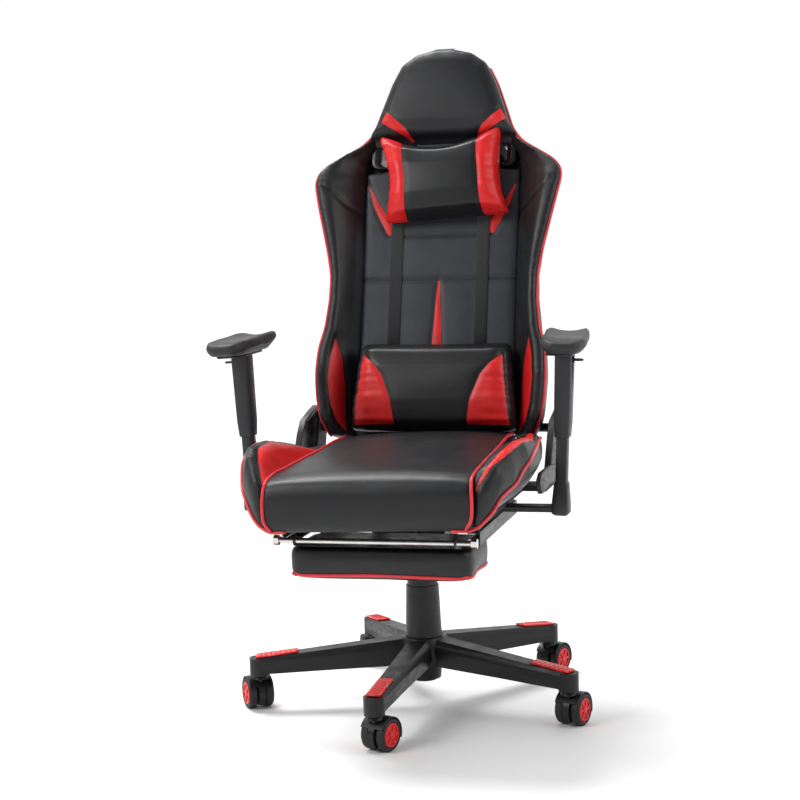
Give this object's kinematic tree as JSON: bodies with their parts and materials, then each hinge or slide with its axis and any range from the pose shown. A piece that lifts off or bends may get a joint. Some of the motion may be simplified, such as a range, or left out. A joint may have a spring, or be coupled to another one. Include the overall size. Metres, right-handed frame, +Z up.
{
  "type": "gaming chair",
  "caption": "Racing style swivel chair on a castored star base, with a reclining winged back, lift-up arms, two pillows and a pull-out footrest that flips over.",
  "frame": {"origin": "on the floor under the gas column's axis, which is midway across the chair and within a few millimetres of midway along it", "axes": "+Z up the column, the sitter faces -Y, +X to the sitter's left hand"},
  "size_m": [0.7222, 0.7721, 1.2909],
  "materials": {
    "base_plastic": "satin",
    "tread_red": "gloss",
    "castor_plastic": "satin",
    "wheel_plastic": "satin",
    "tube_steel": "satin",
    "piston_chrome": "polished",
    "cover_plastic": "satin",
    "mechanism_cast": "satin",
    "frame_steel": "satin",
    "board_wood": "matte",
    "lever_plastic": "satin",
    "arm_steel": "satin",
    "sleeve_plastic": "satin",
    "arm_pad_rubber": "matte",
    "rod_chrome": "polished",
    "seat_leather": "gloss",
    "bolster_leather": "gloss",
    "footrest_leather": "satin",
    "pillow_leather": "gloss",
    "webbing": "matte",
    "back_leather": "satin",
    "shell_leather": "satin"
  },
  "bodies": {
    "base": {"base_star": "base_plastic", "leg_pad_1": "tread_red", "leg_pad_2": "tread_red", "leg_pad_3": "tread_red", "leg_pad_4": "tread_red", "leg_pad_5": "tread_red", "gas_lift_tube": "tube_steel", "lift_cover_lower": "cover_plastic"},
    "castor_1": {"castor_1_hood": "castor_plastic"},
    "castor_1_roller_left": {"castor_1_wheel_left": "wheel_plastic"},
    "castor_1_roller_right": {"castor_1_wheel_right": "wheel_plastic"},
    "castor_2": {"castor_2_hood": "castor_plastic"},
    "castor_2_roller_left": {"castor_2_wheel_left": "wheel_plastic"},
    "castor_2_roller_right": {"castor_2_wheel_right": "wheel_plastic"},
    "castor_3": {"castor_3_hood": "castor_plastic"},
    "castor_3_roller_left": {"castor_3_wheel_left": "wheel_plastic"},
    "castor_3_roller_right": {"castor_3_wheel_right": "wheel_plastic"},
    "castor_4": {"castor_4_hood": "castor_plastic"},
    "castor_4_roller_left": {"castor_4_wheel_left": "wheel_plastic"},
    "castor_4_roller_right": {"castor_4_wheel_right": "wheel_plastic"},
    "castor_5": {"castor_5_hood": "castor_plastic"},
    "castor_5_roller_left": {"castor_5_wheel_left": "wheel_plastic"},
    "castor_5_roller_right": {"castor_5_wheel_right": "wheel_plastic"},
    "lift": {"lift_piston": "piston_chrome", "lift_cover_upper": "cover_plastic"},
    "mechanism": {"tilt_housing": "mechanism_cast"},
    "knob": {"tension_knob": "lever_plastic"},
    "height_lever": {"height_lever": "lever_plastic"},
    "seat": {"mechanism_plate": "frame_steel", "seat_frame": "board_wood", "seat_cushion": "seat_leather", "seat_bolster_left": "bolster_leather", "seat_bolster_right": "bolster_leather", "hinge_cover_left": "cover_plastic", "hinge_cover_right": "cover_plastic", "arm_bracket_left": "arm_steel", "arm_bracket_right": "arm_steel", "footrest_rail_left": "frame_steel", "footrest_rail_right": "frame_steel"},
    "backrest": {"back_frame": "frame_steel", "back_shell": "shell_leather", "back_pad": "back_leather", "back_wing_left": "back_leather", "back_wing_right": "back_leather", "head_pad": "back_leather", "headrest_pillow": "pillow_leather", "headrest_strap": "webbing", "lumbar_strap_left": "webbing", "lumbar_strap_right": "webbing"},
    "lumbar": {"lumbar_pillow": "pillow_leather"},
    "recline_lever": {"recline_lever": "lever_plastic"},
    "arm_left": {"arm_sleeve_left": "sleeve_plastic", "arm_pad_left": "arm_pad_rubber"},
    "arm_lever_left": {"arm_lever_left": "lever_plastic"},
    "arm_right": {"arm_sleeve_right": "sleeve_plastic", "arm_pad_right": "arm_pad_rubber"},
    "arm_lever_right": {"arm_lever_right": "lever_plastic"},
    "footrest_runners": {"footrest_rod": "rod_chrome"},
    "footrest": {"footrest_hinge_plate": "frame_steel", "footrest_pad": "footrest_leather"}
  },
  "joints": [
    {"name": "castor_1_swivel", "type": "hinge", "parent": "base", "child": "castor_1", "pos_m": [-0.01361, -0.32471, 0.08], "axis": [0, 0, 1], "continuous": true},
    {"name": "castor_1_axle_left", "type": "hinge", "parent": "castor_1", "child": "castor_1_roller_left", "pos_m": [-0.02343, -0.30199, 0.03], "axis": [0.9397, -0.342, 0], "continuous": true},
    {"name": "castor_1_axle_right", "type": "hinge", "parent": "castor_1", "child": "castor_1_roller_right", "pos_m": [0.00852, -0.31361, 0.03], "axis": [0.9397, -0.342, 0], "continuous": true},
    {"name": "castor_2_swivel", "type": "hinge", "parent": "base", "child": "castor_2", "pos_m": [0.30462, -0.11329, 0.08], "axis": [0, 0, 1], "continuous": true},
    {"name": "castor_2_axle_left", "type": "hinge", "parent": "castor_2", "child": "castor_2_roller_left", "pos_m": [0.29362, -0.0911, 0.03], "axis": [0.9563, -0.2924, 0], "continuous": true},
    {"name": "castor_2_axle_right", "type": "hinge", "parent": "castor_2", "child": "castor_2_roller_right", "pos_m": [0.32614, -0.10104, 0.03], "axis": [0.9563, -0.2924, 0], "continuous": true},
    {"name": "castor_3_swivel", "type": "hinge", "parent": "base", "child": "castor_3", "pos_m": [0.20187, 0.2547, 0.08], "axis": [0, 0, 1], "continuous": true},
    {"name": "castor_3_axle_left", "type": "hinge", "parent": "castor_3", "child": "castor_3_roller_left", "pos_m": [0.19285, 0.27776, 0.03], "axis": [0.9272, -0.3746, 0], "continuous": true},
    {"name": "castor_3_axle_right", "type": "hinge", "parent": "castor_3", "child": "castor_3_roller_right", "pos_m": [0.22438, 0.26502, 0.03], "axis": [0.9272, -0.3746, 0], "continuous": true},
    {"name": "castor_4_swivel", "type": "hinge", "parent": "base", "child": "castor_4", "pos_m": [-0.17985, 0.2707, 0.08], "axis": [0, 0, 1], "continuous": true},
    {"name": "castor_4_axle_left", "type": "hinge", "parent": "castor_4", "child": "castor_4_roller_left", "pos_m": [-0.2027, 0.28023, 0.03], "axis": [0.9135, 0.4067, 0], "continuous": true},
    {"name": "castor_4_axle_right", "type": "hinge", "parent": "castor_4", "child": "castor_4_roller_right", "pos_m": [-0.17164, 0.29406, 0.03], "axis": [0.9135, 0.4067, 0], "continuous": true},
    {"name": "castor_5_swivel", "type": "hinge", "parent": "base", "child": "castor_5", "pos_m": [-0.31303, -0.0874, 0.08], "axis": [0, 0, 1], "continuous": true},
    {"name": "castor_5_axle_left", "type": "hinge", "parent": "castor_5", "child": "castor_5_roller_left", "pos_m": [-0.33728, -0.08241, 0.03], "axis": [0.8192, 0.5736, 0], "continuous": true},
    {"name": "castor_5_axle_right", "type": "hinge", "parent": "castor_5", "child": "castor_5_roller_right", "pos_m": [-0.30943, -0.0629, 0.03], "axis": [0.8192, 0.5736, 0], "continuous": true},
    {"name": "lift_slide", "type": "slide", "parent": "base", "child": "lift", "axis": [0, 0, 1], "range_m": [-0.06, 0.03]},
    {"name": "seat_swivel", "type": "hinge", "parent": "lift", "child": "mechanism", "pos_m": [0, 0, 0.335], "axis": [0, 0, 1], "continuous": true},
    {"name": "knob_turn", "type": "hinge", "parent": "mechanism", "child": "knob", "pos_m": [0, -0.103, 0.353], "axis": [0, 1, 0], "continuous": true},
    {"name": "height_lever_hinge", "type": "hinge", "parent": "mechanism", "child": "height_lever", "pos_m": [-0.073, 0.06, 0.353], "axis": [0, 1, 0], "range_deg": [0, 8], "stiffness_Nm_per_rad": 1, "springref_deg": -6.88},
    {"name": "seat_tilt", "type": "hinge", "parent": "mechanism", "child": "seat", "pos_m": [0, -0.03, 0.36], "axis": [-1, 0, 0], "range_deg": [0, 10], "stiffness_Nm_per_rad": 320, "springref_deg": -8.59},
    {"name": "recline", "type": "hinge", "parent": "seat", "child": "backrest", "pos_m": [0, 0.16, 0.528], "axis": [-1, 0, 0], "range_deg": [-7, 60]},
    {"name": "lumbar_slide", "type": "slide", "parent": "backrest", "child": "lumbar", "axis": [0, 0.2656, 0.9641], "range_m": [0, 0.1]},
    {"name": "recline_lever_hinge", "type": "hinge", "parent": "seat", "child": "recline_lever", "pos_m": [0.261, 0.085, 0.452], "axis": [-1, 0, 0], "range_deg": [0, 20], "stiffness_Nm_per_rad": 1, "springref_deg": -6.88},
    {"name": "arm_height_left", "type": "slide", "parent": "seat", "child": "arm_left", "axis": [-0.0454, 0, 0.999], "range_m": [-0.06, 0.02]},
    {"name": "arm_lever_hinge_left", "type": "hinge", "parent": "arm_left", "child": "arm_lever_left", "pos_m": [-0.32456, -0.12, 0.69031], "axis": [0, 1, 0], "range_deg": [0, 12], "stiffness_Nm_per_rad": 0.1, "springref_deg": -6.88},
    {"name": "arm_height_right", "type": "slide", "parent": "seat", "child": "arm_right", "axis": [0.0454, 0, 0.999], "range_m": [-0.06, 0.02]},
    {"name": "arm_lever_hinge_right", "type": "hinge", "parent": "arm_right", "child": "arm_lever_right", "pos_m": [0.32456, -0.12, 0.69031], "axis": [0, -1, 0], "range_deg": [0, 12], "stiffness_Nm_per_rad": 0.1, "springref_deg": -6.88},
    {"name": "footrest_slide", "type": "slide", "parent": "seat", "child": "footrest_runners", "axis": [0, -1, 0], "range_m": [0, 0.16]},
    {"name": "footrest_flip", "type": "hinge", "parent": "footrest_runners", "child": "footrest", "pos_m": [0, -0.335, 0.388], "axis": [-1, 0, 0], "range_deg": [0, 180]}
  ],
  "couplings": [
    {"joint": "footrest_flip", "follows": "footrest_slide", "rad_per_m": 19.635}
  ]
}
